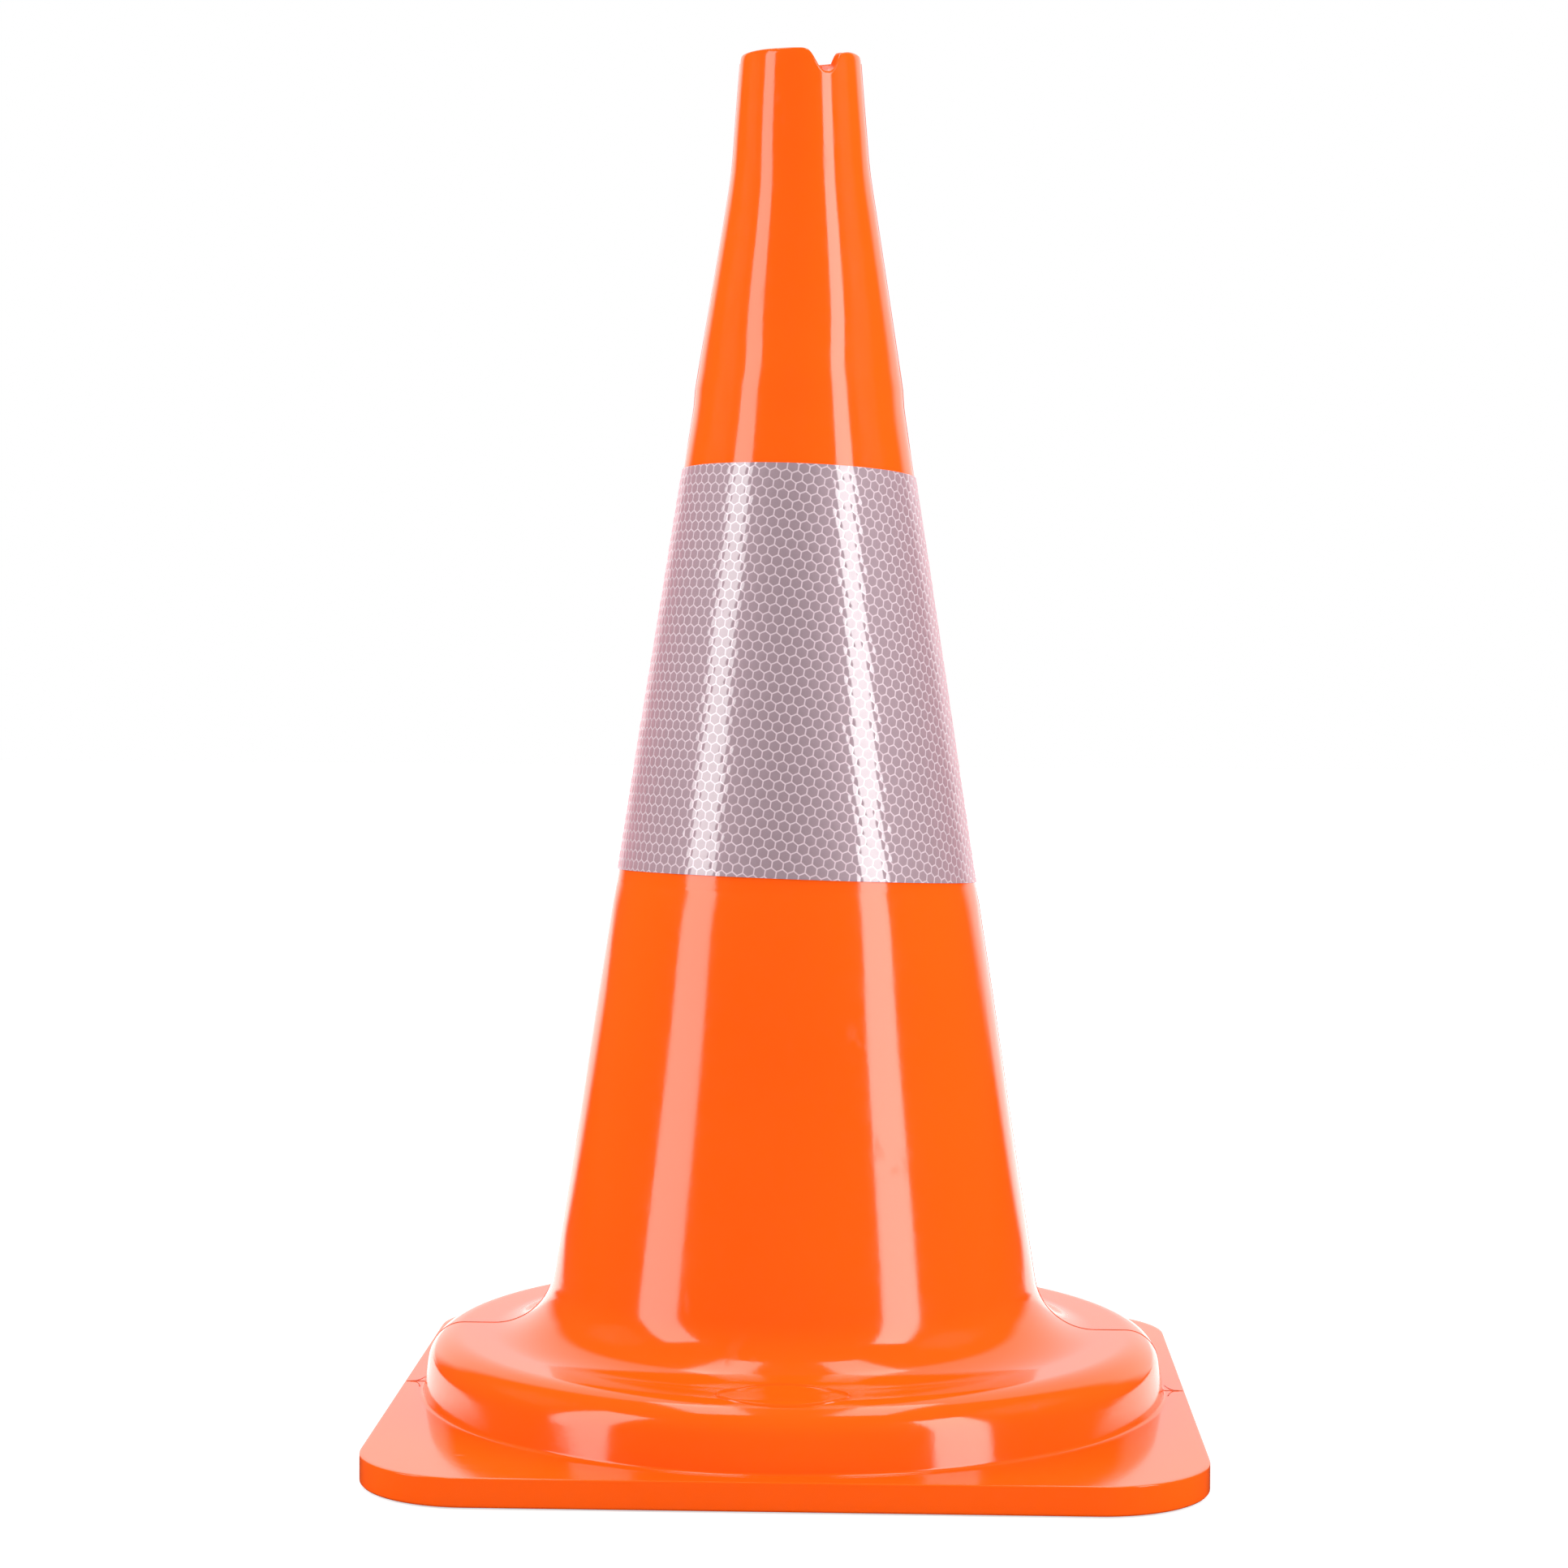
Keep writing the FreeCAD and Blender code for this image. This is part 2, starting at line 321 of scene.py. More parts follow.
def plinth_height(radius):
    """Height of the plinth's surface at a radius: its flat top, plus the rise of the
    shell's fillet inside it, less the fall of the shoulder outside it."""
    fillet, shoulder = fillet_centre(), shoulder_centre()
    in_fillet = np.clip(fillet[0] - radius, 0.0, SHELL_FILLET)
    in_shoulder = np.clip(radius - shoulder[0], 0.0, PLINTH_SHOULDER)
    rise = SHELL_FILLET - np.sqrt(SHELL_FILLET**2 - in_fillet**2)
    fall = PLINTH_SHOULDER - np.sqrt(PLINTH_SHOULDER**2 - in_shoulder**2)
    return PLINTH_TOP + rise - fall


# Meshes

def quads(rows, columns, close_rows, close_columns):
    """Vertex numbers of the faces of a grid, with either direction closed."""
    i = np.arange(rows if close_rows else rows - 1)[:, None]
    j = np.arange(columns if close_columns else columns - 1)[None, :]
    a = i * columns + j
    b = i * columns + (j + 1) % columns
    c = ((i + 1) % rows) * columns + (j + 1) % columns
    d = ((i + 1) % rows) * columns + j
    return np.stack(np.broadcast_arrays(a, b, c, d), axis=-1).reshape(-1, 4)


def new_mesh(name, points, faces):
    """A mesh from points in millimetres and a list or array of faces."""
    mesh = bpy.data.meshes.new(name)
    mesh.from_pydata((points * MM).tolist(), [], [list(face) for face in faces])
    return mesh


def add_piece(mesh, materials, replaced):
    """Makes the object, shades it smooth, gives it its body and material slots, and hides the CAD
    part that it replaces.
    """
    mesh.shade_smooth()
    piece = bpy.data.objects.new(mesh.name, mesh)
    bpy.context.scene.collection.objects.link(piece)
    for material in materials:
        mesh.materials.append(material)
    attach(piece, BODY)
    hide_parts(replaced)
    return piece


def face_outwards(mesh):
    """Recalculates the normals of a closed mesh."""
    work = bmesh.new()
    work.from_mesh(mesh)
    bmesh.ops.remove_doubles(work, verts=work.verts, dist=0.002 * MM)
    bmesh.ops.recalc_face_normals(work, faces=work.faces)
    work.to_mesh(mesh)
    work.free()


def body_columns():
    """Angles round the moulding: even steps of a running total of density, in
    columns for each degree, which is higher at the notch and at the plate's corners."""
    fine = np.linspace(0.0, 360.0, 36001)

    def near(angle, reach):
        return np.abs((fine - angle + 180.0) % 360.0 - 180.0) < reach

    density = np.full_like(fine, 0.8)
    for corner in (45.0, 135.0, 225.0, 315.0):
        density[near(corner, 10.0)] = 1.25
    density[near(NOTCH_ANGLE, NOTCH_REACH)] = 2.0
    total = np.cumsum(density) * (fine[1] - fine[0])
    count = int(total[-1])
    return np.interp(np.arange(count) * total[-1] / count, total, fine)


def inner_profile():
    """The inside of the moulding, from the plate's underside up to the rim."""
    fillet, shoulder = fillet_centre(), shoulder_centre()
    wall = shoulder[0] + PLINTH_SHOULDER - PLINTH_WALL
    ceiling = PLINTH_TOP - PLINTH_WALL
    bore_start = BORE_BOTTOM - BORE_LEAD_IN
    lead_in = NECK_RADIUS - NECK_FALL * (bore_start - NECK_LEVEL) - SHELL_WALL
    foot_round = HOLLOW_FOOT_ROUND
    foot = bend((wall + foot_round, foot_round), foot_round, 3 * RIGHT_ANGLE, math.pi, 4)
    shoulder_bend = bend(shoulder, PLINTH_SHOULDER - PLINTH_WALL, 0.0, RIGHT_ANGLE, 8)
    fillet_bend = bend(fillet, SHELL_FILLET + PLINTH_WALL, 3 * RIGHT_ANGLE, TAPER_NORMAL, 10)
    knee = (KNEE_RADIUS - SHELL_WALL, KNEE_LEVEL)
    neck = (NECK_RADIUS - SHELL_WALL, NECK_LEVEL)
    edge = RIM_ROUND / 2
    lip = bend((BORE_RADIUS + edge, HEIGHT - edge), edge, math.pi, RIGHT_ANGLE, 4)
    return np.vstack([
        foot,
        run((wall, 3.0), (wall, shoulder[1] - 1.0), 4),
        shoulder_bend,
        run((shoulder[0] - 2.0, ceiling), (fillet[0] + 1.0, ceiling), 3),
        fillet_bend,
        run(fillet_bend[-1] + (-1.0, 6.4), knee, 12),
        run(knee, neck, 5)[1:],
        run((lead_in, bore_start), (BORE_RADIUS, BORE_BOTTOM), 3),
        run((BORE_RADIUS, BORE_BOTTOM + 1.0), (BORE_RADIUS, HEIGHT - 8.0), 3),
        run((BORE_RADIUS, HEIGHT - 5.0), (BORE_RADIUS, HEIGHT - 1.0), 3),
        lip,
    ])


def outer_profile():
    """The outside of the moulding, from the rim down to the plinth's foot. Its rows
    crowd where the profile turns: under the lip and at the foot of the seat."""
    fillet, shoulder = fillet_centre(), shoulder_centre()
    lip = bend((RIM_RADIUS - RIM_ROUND, HEIGHT - RIM_ROUND), RIM_ROUND, RIGHT_ANGLE, 0.0, 5)
    fillet_bend = bend(fillet, SHELL_FILLET, TAPER_NORMAL, 3 * RIGHT_ANGLE, 22)
    top = HEIGHT - RIM_ROUND
    levels = np.concatenate([
        top - np.array([0.6, 1.6, 3.0, 5.0, 8.0, 12.0, 17.0]),
        np.linspace(top - 24.0, SEAT_BOTTOM + 4.0, 46),
        SEAT_BOTTOM + np.array([1.5, 0.6, 0.1, -0.25, -0.5, -0.75, -1.1, -1.6, -3.0]),
        np.linspace(SEAT_BOTTOM - 9.0, fillet_bend[0][1] + 3.0, 20),
    ])
    shell = np.column_stack([shell_radius(levels), levels])
    plinth_foot = (PLINTH_FOOT_RADIUS + PLINTH_FOOT_FILLET, PLATE_THICK + PLINTH_FOOT_FILLET)
    shoulder_bend = bend(shoulder, PLINTH_SHOULDER, RIGHT_ANGLE, DRAFT, 16)
    return np.vstack([
        lip,
        shell,
        fillet_bend,
        run((fillet[0] + 1.0, PLINTH_TOP), (shoulder[0] - 0.8, PLINTH_TOP), 5),
        shoulder_bend,
        run(shoulder_bend[-1], (PLINTH_FOOT_RADIUS, plinth_foot[1]), 6)[1:-1],
        bend(plinth_foot, PLINTH_FOOT_FILLET, math.pi, 3 * RIGHT_ANGLE, 6),
    ])


def plate_rows(turn, foot, inner):
    """Rows of radius and height from the plinth's foot out over the plate's top,
    down its side and back under it. Each top or bottom row divides the way between
    a circle and the outline by a fixed share."""
    outline = plate_outline(turn)
    level = np.zeros_like(turn)
    rows = []
    for share in (0.04, 0.15, 0.4, 0.7, 0.9, 0.97):
        rows.append((foot + share * (outline - PLATE_RIM_ROUND - foot), level + PLATE_THICK))
    for angle in np.linspace(0.0, RIGHT_ANGLE, 4):
        inset = PLATE_RIM_ROUND * (1.0 - math.sin(angle))
        drop = PLATE_RIM_ROUND * (1.0 - math.cos(angle))
        rows.append((outline - inset, level + PLATE_THICK - drop))
    for height in (9.2, 7.0, 4.0, 1.6, PLATE_FOOT_CHAMFER + 0.15):
        rows.append((outline, level + height))
    chamfer = PLATE_FOOT_CHAMFER
    rows.append((outline - 0.06 * chamfer, level + chamfer))
    rows.append((outline - 0.94 * chamfer, level + 0.05 * chamfer))
    under = outline - 1.3 * chamfer
    for share in (0.0, 0.05, 0.3, 0.6, 0.9):
        rows.append((under + share * (inner - under), level))
    return np.array([row[0] for row in rows]), np.array([row[1] for row in rows])


def moulding_rows(turn):
    """Radius and height of every row of the moulding at the angles: up the inside,
    over the rim and down the outside with the shell's wave and the rim's dip, then
    the plate. Also the number of the first outside row and of the first plate row."""
    inside, outside = inner_profile(), outer_profile()
    lathe = np.vstack([inside, outside])
    radius = lathe[:, :1] + np.zeros_like(turn)
    height = lathe[:, 1:] + np.zeros_like(turn)
    is_outside = (np.arange(len(lathe)) >= len(inside))[:, None]
    on_shell = is_outside & (lathe[:, 1:] > PLINTH_TOP + SHELL_FILLET)
    radius = radius + np.where(on_shell, shell_wave(turn, height), 0.0)
    above = np.clip((height - HEIGHT + RIM_ZONE) / RIM_ZONE, 0.0, 1.0)
    drop = above * (HEIGHT - rim_height(turn))
    radius = radius + np.where(is_outside, NECK_FALL * drop, 0.0)
    plate_radius, plate_height = plate_rows(turn, outside[-1][0], inside[0][0])
    radius = np.vstack([radius, plate_radius])
    height = np.vstack([height - drop, plate_height])
    return radius, height, len(inside), len(lathe)


def around(radius, turn, level):
    """Points from radius, angle from -Y towards +X in degrees, and height."""
    angle = np.radians(turn)
    return np.stack([radius * np.sin(angle), -radius * np.cos(angle), level], axis=-1)


def build_moulding(material):
    """The whole moulding as one closed grid: angle round the axis by place along a
    profile that runs up the inside, over the rim, down the outside, out over the
    plate and back under it."""
    turn = body_columns()
    radius, height = moulding_rows(turn)[:2]
    points = around(radius, turn, height)
    faces = quads(radius.shape[0], radius.shape[1], True, True)
    mesh = new_mesh("cone_moulding", points.reshape(-1, 3), faces)
    face_outwards(mesh)
    return add_piece(mesh, [material], "cone_body")


def ridge(path, out, rise):
    """Points of a low ridge: a flat-topped section with sloping sides and a sunk
    foot, across the path by its tangent crossed with the outward direction."""
    along = np.gradient(path, axis=0)
    across = np.cross(along, out)
    across = across / np.linalg.norm(across, axis=1, keepdims=True)
    width = FLASH_WIDTH * np.array([-0.55, -0.5, -0.12, 0.12, 0.5, 0.55])
    lift = np.array([-0.3, 0.0, 1.0, 1.0, 0.0, -0.3])
    high = np.where(lift > 0.0, lift * rise[:, None], lift)
    sideways = across[:, None, :] * width[:, None]
    return path[:, None, :] + sideways + out[:, None, :] * high[:, :, None]


def build_flash(material):
    """The flash line of the mould: a thin ridge down each side, from below the rim's
    rounding to the plate's edge, lower under the collar, and a fork at the plinth's
    foot. Each tine of the fork runs inwards by the square root of the share of the
    way and sideways by its power of 1.5."""
    strips, steps, rows_skipped = [], 8, 6
    for turn in FLASH_ANGLES:
        radius, height, first, plate = moulding_rows(np.array([turn]))
        rows = slice(first + rows_skipped, plate + rows_skipped)
        radius, height = radius[rows, 0], height[rows, 0]
        slope = np.stack([np.gradient(radius), np.gradient(height)], axis=1)
        slope = slope / np.linalg.norm(slope, axis=1, keepdims=True)
        out = around(-slope[:, 1], turn, slope[:, 0])
        share = ease((PLINTH_FLASH_LEVEL - height) / PLINTH_FLASH_BLEND)
        rise = FLASH_RISE_SHELL + (FLASH_RISE_PLINTH - FLASH_RISE_SHELL) * share
        from_collar = np.abs(height - 0.5 * (COLLAR_BOTTOM + COLLAR_TOP))
        covered = from_collar < 0.5 * (COLLAR_TOP - COLLAR_BOTTOM) + COVERED_FLASH_MARGIN
        rise = np.where(covered, 0.5 * rise, rise)
        strips.append(ridge(around(radius, turn, height), out, rise))
        side = math.copysign(1.0, 180.0 - turn)
        for reach in (-FLASH_FORK_REACH, FLASH_FORK_REACH):
            share = np.linspace(0.0, 1.0, steps)
            away = FLASH_FORK_FROM + (FLASH_FORK_TO - FLASH_FORK_FROM) * np.sqrt(share)
            level = np.full(steps, PLATE_THICK)
            path = np.stack([side * away, reach * share**1.5, level], axis=1)
            up = np.tile([0.0, 0.0, 1.0], (steps, 1))
            strips.append(ridge(path, up, FLASH_RISE_FORK * (1.0 - 0.7 * share)))
    points, faces, start = [], [], 0
    for strip in strips:
        rows, columns = strip.shape[:2]
        faces += (quads(rows, columns, False, True) + start).tolist()
        faces.append([start + k for k in range(columns)])
        faces.append([start + (rows - 1) * columns + k for k in range(columns)][::-1])
        points.append(strip.reshape(-1, 3))
        start += rows * columns
    mesh = new_mesh("parting_flash", np.vstack(points), faces)
    face_outwards(mesh)
    return add_piece(mesh, [material], "cone_body")


def build_oval(material):
    """The blank oval: a disc in elliptical polar steps that follows the plinth's
    surface. Its size falls by each ring's distance from the border, its height adds
    a bell-shaped bead along the border and a drop at the rim, and it is closed below."""
    inwards = np.array([1.6, 1.35, 1.15, 1.0, 0.85, 0.7, 0.55, 0.4, 0.25, 0.1, 0.0, -0.1])
    middle = np.array([0.0, 0.35, 0.65, 0.85, 0.95])
    length, width = OVAL_LENGTH / 2, OVAL_WIDTH / 2
    lengths = np.concatenate([middle * (length - OVAL_BORDER), length - inwards])
    widths = np.concatenate([middle * (width - OVAL_BORDER), width - inwards])
    bead = OVAL_RISE * np.exp(-(((inwards - OVAL_BEAD_PLACE) / OVAL_BEAD_REACH) ** 2))
    drop = 0.5 * ease((0.25 - inwards) / 0.3)
    lift = OVAL_FIELD_LIFT + np.concatenate([0.0 * middle, bead - drop])
    angle = np.radians(np.arange(0.0, 360.0, 2.5))[None, :]
    along = lengths[:, None] * np.cos(angle)
    out = -OVAL_RADIUS + widths[:, None] * np.sin(angle)
    surface = plinth_height(np.hypot(along, out))
    top = np.stack([along, out, surface + lift[:, None]], axis=-1)
    under = np.stack([along, out, surface - OVAL_SUNK], axis=-1)[::-1]
    points = np.concatenate([top, under])
    faces = quads(points.shape[0], points.shape[1], False, True)
    mesh = new_mesh("oval_panel", points.reshape(-1, 3), faces)
    face_outwards(mesh)
    return add_piece(mesh, [material], "cone_body")


def build_ribs(material):
    """Low ribs under the plinth: a box with drafted sides, whose top follows an arc
    inside the plinth's skin, turned to each place round the axis."""
    skin = PLINTH_WALL / 2
    fillet, shoulder = fillet_centre(), shoulder_centre()
    inner = fillet[0] - SHELL_FILLET / 2
    curve = bend(shoulder, PLINTH_SHOULDER - skin, RIGHT_ANGLE, 0.0, 7)
    top = np.vstack([[inner, PLINTH_TOP - skin], curve])
    low = PLINTH_TOP - PLINTH_WALL - RIB_DEPTH
    half = np.full(len(top), RIB_THICK / 2)
    stations = np.vstack([
        np.column_stack([top[:, 0], half, top[:, 1]]),
        np.column_stack([top[::-1, 0], half - RIB_DRAFT, np.full(len(top), low)]),
    ])
    sides = np.vstack([stations, stations * [1.0, -1.0, 1.0]])
    count = len(stations)
    loop = np.arange(count)
    following = (loop + 1) % count
    rim = np.column_stack([loop, following, following + count, loop + count]).tolist()
    box = [loop.tolist(), (loop[::-1] + count).tolist()] + rim
    mesh_points, mesh_faces = [], []
    for index in range(RIB_COUNT):
        angle = 2.0 * math.pi * (index + 0.5) / RIB_COUNT
        x, y, z = sides.T
        turned = np.column_stack([
            x * math.cos(angle) - y * math.sin(angle),
            x * math.sin(angle) + y * math.cos(angle),
            z,
        ])
        mesh_faces += [[corner + 2 * count * index for corner in face] for face in box]
        mesh_points.append(turned)
    mesh = new_mesh("plinth_ribs", np.vstack(mesh_points), mesh_faces)
    face_outwards(mesh)
    piece = add_piece(mesh, [material], "cone_body")
    mesh.shade_flat()
    return piece


# The collar

def film_place(turn, level, depth):
    """Where a point of the collar lies: on the shell at its height, out by the film's
    depth, and lifted by the whole thickness where the strip's end laps its start."""
    total = FILMS["collar_face_film"][1]
    lap = ease((turn - SEAM_START - 360.0 + SEAM_RAMP) / SEAM_RAMP)
    radius = shell_radius(level) + shell_wave(turn, level) + (depth + total * lap) * SLOPE
    return around(radius, turn, level)


def collar_edge(turn, middle):
    """Height of a tilted edge of the collar: a cosine round the axis whose size is
    the radius there times the tangent of the tilt."""
    swing = taper_radius(middle) * math.tan(math.radians(COLLAR_TILT))
    return middle + swing * np.cos(np.radians(turn - COLLAR_HIGH_SIDE))


def build_film(name, material):
    """One inner film as a thin closed strip: angle along the strip by a loop round
    its section, which is two long sides and two cut edges."""
    near, far = FILMS[name]
    up = np.linspace(0.0, 1.0, 30)
    turn = np.linspace(SEAM_START, SEAM_END, 260)[None, :]
    share = np.concatenate([up, up[::-1]])[:, None]
    depth = np.repeat([far, near], len(up))[:, None]
    bottom = collar_edge(turn, COLLAR_BOTTOM)
    top = collar_edge(turn, COLLAR_TOP)
    level = bottom + share * (top - bottom)
    points = film_place(np.broadcast_to(turn, level.shape), level, depth)
    rows, columns = level.shape
    faces = quads(rows, columns, True, False).tolist()
    faces.append([i * columns for i in range(rows)])
    faces.append([i * columns + columns - 1 for i in range(rows)][::-1])
    mesh = new_mesh(name, points.reshape(-1, 3), faces)
    face_outwards(mesh)
    mesh.set_sharp_from_angle(angle=math.radians(40.0))
    return add_piece(mesh, [material], name)


def honeycomb():
    """Flat hexagons with their points up, in level rows, each one a centre, a ring
    half way out, the inner edge of its seal line and the line's middle. The centre
    is highest, by an amount that differs from cell to cell, and a little off the
    middle. Returns points, with the lift as z, faces, and which are seal."""
    side = CELL_PITCH / math.sqrt(3.0)
    long_reach = (APEX - COLLAR_BOTTOM + SHEET_MARGIN) / SLANT_COSINE
    short_reach = (APEX - COLLAR_TOP - SHEET_MARGIN) / SLANT_COSINE
    last = int(long_reach / CELL_PITCH)
    rows = np.arange(int(long_reach / (1.5 * side)) + 2)
    column, row = np.meshgrid(np.arange(-last, last + 1), rows)
    centre_x = (column + 0.5 * (row % 2)) * CELL_PITCH
    centre_y = -row * 1.5 * side
    away = np.hypot(centre_x, centre_y)
    middle = sheet_angle((SEAM_START + SEAM_END) / 2)
    half_turn = math.radians((SEAM_END - SEAM_START) / 2 + SHEET_MARGIN_TURN) * SLANT_SINE
    ahead = np.abs(np.arctan2(centre_x, -centre_y) - middle)
    keep = (away < long_reach) & (away > short_reach) & (ahead < half_turn)
    centres = np.column_stack([centre_x[keep], centre_y[keep]])
    corner = np.radians(np.arange(6) * 60.0 + 30.0)
    unit = np.column_stack([np.cos(corner), np.sin(corner)])
    line_share = 1.0 - CELL_LINE / CELL_PITCH
    shares = [0.55 * line_share, line_share, 1.0]
    lifts = [0.75, 0.15, 0.0]
    chance = np.random.default_rng(CELL_SEED)
    swell = CELL_PILLOW * chance.uniform(0.3, 1.8, len(centres))
    crease = centres + chance.uniform(-CELL_CREASE, CELL_CREASE, centres.shape)
    points = [np.column_stack([crease, swell])[:, None, :]]
    for share, lift in zip(shares, lifts):
        ring = centres[:, None, :] + share * side * unit[None, :, :]
        height = np.broadcast_to(lift * swell[:, None, None], ring.shape[:2] + (1,))
        points.append(np.concatenate([ring, height], axis=2))
    points = np.concatenate(points, axis=1)
    start = np.arange(len(centres))[:, None] * points.shape[1]
    this, following = np.arange(6), (np.arange(6) + 1) % 6
    fan = np.stack([start + 0 * this, start + 1 + this, start + 1 + following], axis=-1)
    faces = fan.reshape(-1, 3).tolist()
    seal = [0] * len(faces)
    for ring, is_seal in ((1, 0), (7, 1)):
        band = np.stack([
            start + ring + this, start + ring + 6 + this,
            start + ring + 6 + following, start + ring + following], axis=-1).reshape(-1, 4)
        faces += band.tolist()
        seal += [is_seal] * len(band)
    return points.reshape(-1, 3), faces, seal


def sheet_angle(turn):
    """Angle in the flat sheet of a place round the cone: the turn from the column
    where the rows run level, shrunk by the sine of the taper."""
    return np.radians(turn - ROWS_LEVEL_AT) * SLANT_SINE


def trim(work, point, normal):
    """Cuts a mesh with a plane and drops the side that the normal points to."""
    geometry = work.verts[:] + work.edges[:] + work.faces[:]
    bmesh.ops.bisect_plane(
        work, geom=geometry, dist=1e-7, plane_co=point, plane_no=normal, clear_outer=True)


def cut_sheet(mesh):
    """Cuts the flat sheet to the strip's length, along two rays from its corner."""
    work = bmesh.new()
    work.from_mesh(mesh)
    bmesh.ops.remove_doubles(work, verts=work.verts, dist=0.01 * MM)
    for turn, side in ((SEAM_START, -1.0), (SEAM_END, 1.0)):
        angle = float(sheet_angle(turn))
        trim(work, Vector(), side * Vector((math.cos(angle), math.sin(angle), 0.0)))
    work.to_mesh(mesh)
    work.free()


def roll_sheet(mesh):
    """Rolls the flat sheet on to the taper: angle in the sheet over the sine of the
    taper is angle round the axis, and distance from the sheet's corner is distance
    from the cone's apex. The flat place is kept as the UV map that patterns read."""
    flat = np.empty(len(mesh.vertices) * 3)
    mesh.vertices.foreach_get("co", flat)
    flat = flat.reshape(-1, 3)
    corners = np.empty(len(mesh.loops), dtype=np.int32)
    mesh.loops.foreach_get("vertex_index", corners)
    layer = mesh.uv_layers.new(name="sheet")
    layer.uv.foreach_set("vector", flat[corners, :2].astype(np.float32).ravel())
    x, y, swell = flat.T / MM
    turn = ROWS_LEVEL_AT + np.degrees(np.arctan2(x, -y)) / SLANT_SINE
    level = APEX - np.hypot(x, y) * SLANT_COSINE
    rolled = film_place(turn, level, FILMS["collar_face_film"][1] + swell) * MM
    mesh.vertices.foreach_set("co", rolled.ravel())


def cut_edges(mesh):
    """Cuts the rolled sheet with the two tilted planes, faces it outwards and makes
    it one clean mesh, whose last vertices and faces are then the ones added last."""
    work = bmesh.new()
    work.from_mesh(mesh)
    lean = Matrix.Rotation(math.radians(COLLAR_HIGH_SIDE), 3, "Z")
    lean = lean @ Matrix.Rotation(math.radians(-COLLAR_TILT), 3, "X")
    for level, side in ((COLLAR_BOTTOM, -1.0), (COLLAR_TOP, 1.0)):
        trim(work, Vector((0.0, 0.0, level * MM)), lean @ Vector((0.0, 0.0, side)))
    bmesh.ops.recalc_face_normals(work, faces=work.faces)
    work.to_mesh(mesh)
    work.free()


def turn_in_edges(mesh):
    """Gives the sheet its cut edge: a skirt round its border, whose far side moves
    towards the axis by the film's thickness, in the seal line's material."""
    near, far = FILMS["collar_face_film"]
    vertex_count, face_count = len(mesh.vertices), len(mesh.polygons)
    work = bmesh.new()
    work.from_mesh(mesh)
    border = [edge for edge in work.edges if edge.is_boundary]
    bmesh.ops.extrude_edge_only(work, edges=border)
    work.to_mesh(mesh)
    work.free()
    place = np.empty(len(mesh.vertices) * 3)
    mesh.vertices.foreach_get("co", place)
    place = place.reshape(-1, 3)
    radius = np.hypot(place[vertex_count:, 0], place[vertex_count:, 1])
    place[vertex_count:, :2] *= (1.0 - (far - near) * MM / radius)[:, None]
    mesh.vertices.foreach_set("co", place.ravel())
    material = np.empty(len(mesh.polygons), dtype=np.int32)
    mesh.polygons.foreach_get("material_index", material)
    material[face_count:] = 1
    mesh.polygons.foreach_set("material_index", material)
    mesh.update()


def build_face_film(cell, line):
    """The honeycomb laminate's face: a flat sheet of cells, cut to length, rolled on
    to the taper, cut along two tilted planes and turned in at its edges."""
    points, faces, seal = honeycomb()
    mesh = new_mesh("collar_face_film", points, faces)
    mesh.polygons.foreach_set("material_index", seal)
    cut_sheet(mesh)
    roll_sheet(mesh)
    cut_edges(mesh)
    turn_in_edges(mesh)
    mesh.set_sharp_from_angle(angle=math.radians(50.0))
    return add_piece(mesh, [cell, line], "collar_face_film")


# Materials

def colour(code):
    """Linear colour with alpha from an sRGB hex value."""
    parts = [int(code[k:k + 2], 16) / 255.0 for k in (0, 2, 4)]
    linear = [p / 12.92 if p <= 0.04045 else ((p + 0.055) / 1.055) ** 2.4 for p in parts]
    return (*linear, 1.0)


def add(tree, kind, settings=None, links=None):
    """Adds a node, sets its properties and inputs, and links inputs to outputs."""
    node = tree.nodes.new(kind)
    for name, value in (settings or {}).items():
        if isinstance(name, int) or name in node.inputs:
            node.inputs[name].default_value = value
        else:
            setattr(node, name, value)
    for name, source in (links or {}).items():
        tree.links.new(source, node.inputs[name])
    return node


def grain_scale(size):
    """Scale of a noise whose grains are this many millimetres across."""
    return 1.0 / (size * MM)


def new_material(name):
    """An empty material, and its node tree."""
    material = bpy.data.materials.new(name)
    material.use_nodes = True
    tree = material.node_tree
    tree.nodes.clear()
    return material, tree


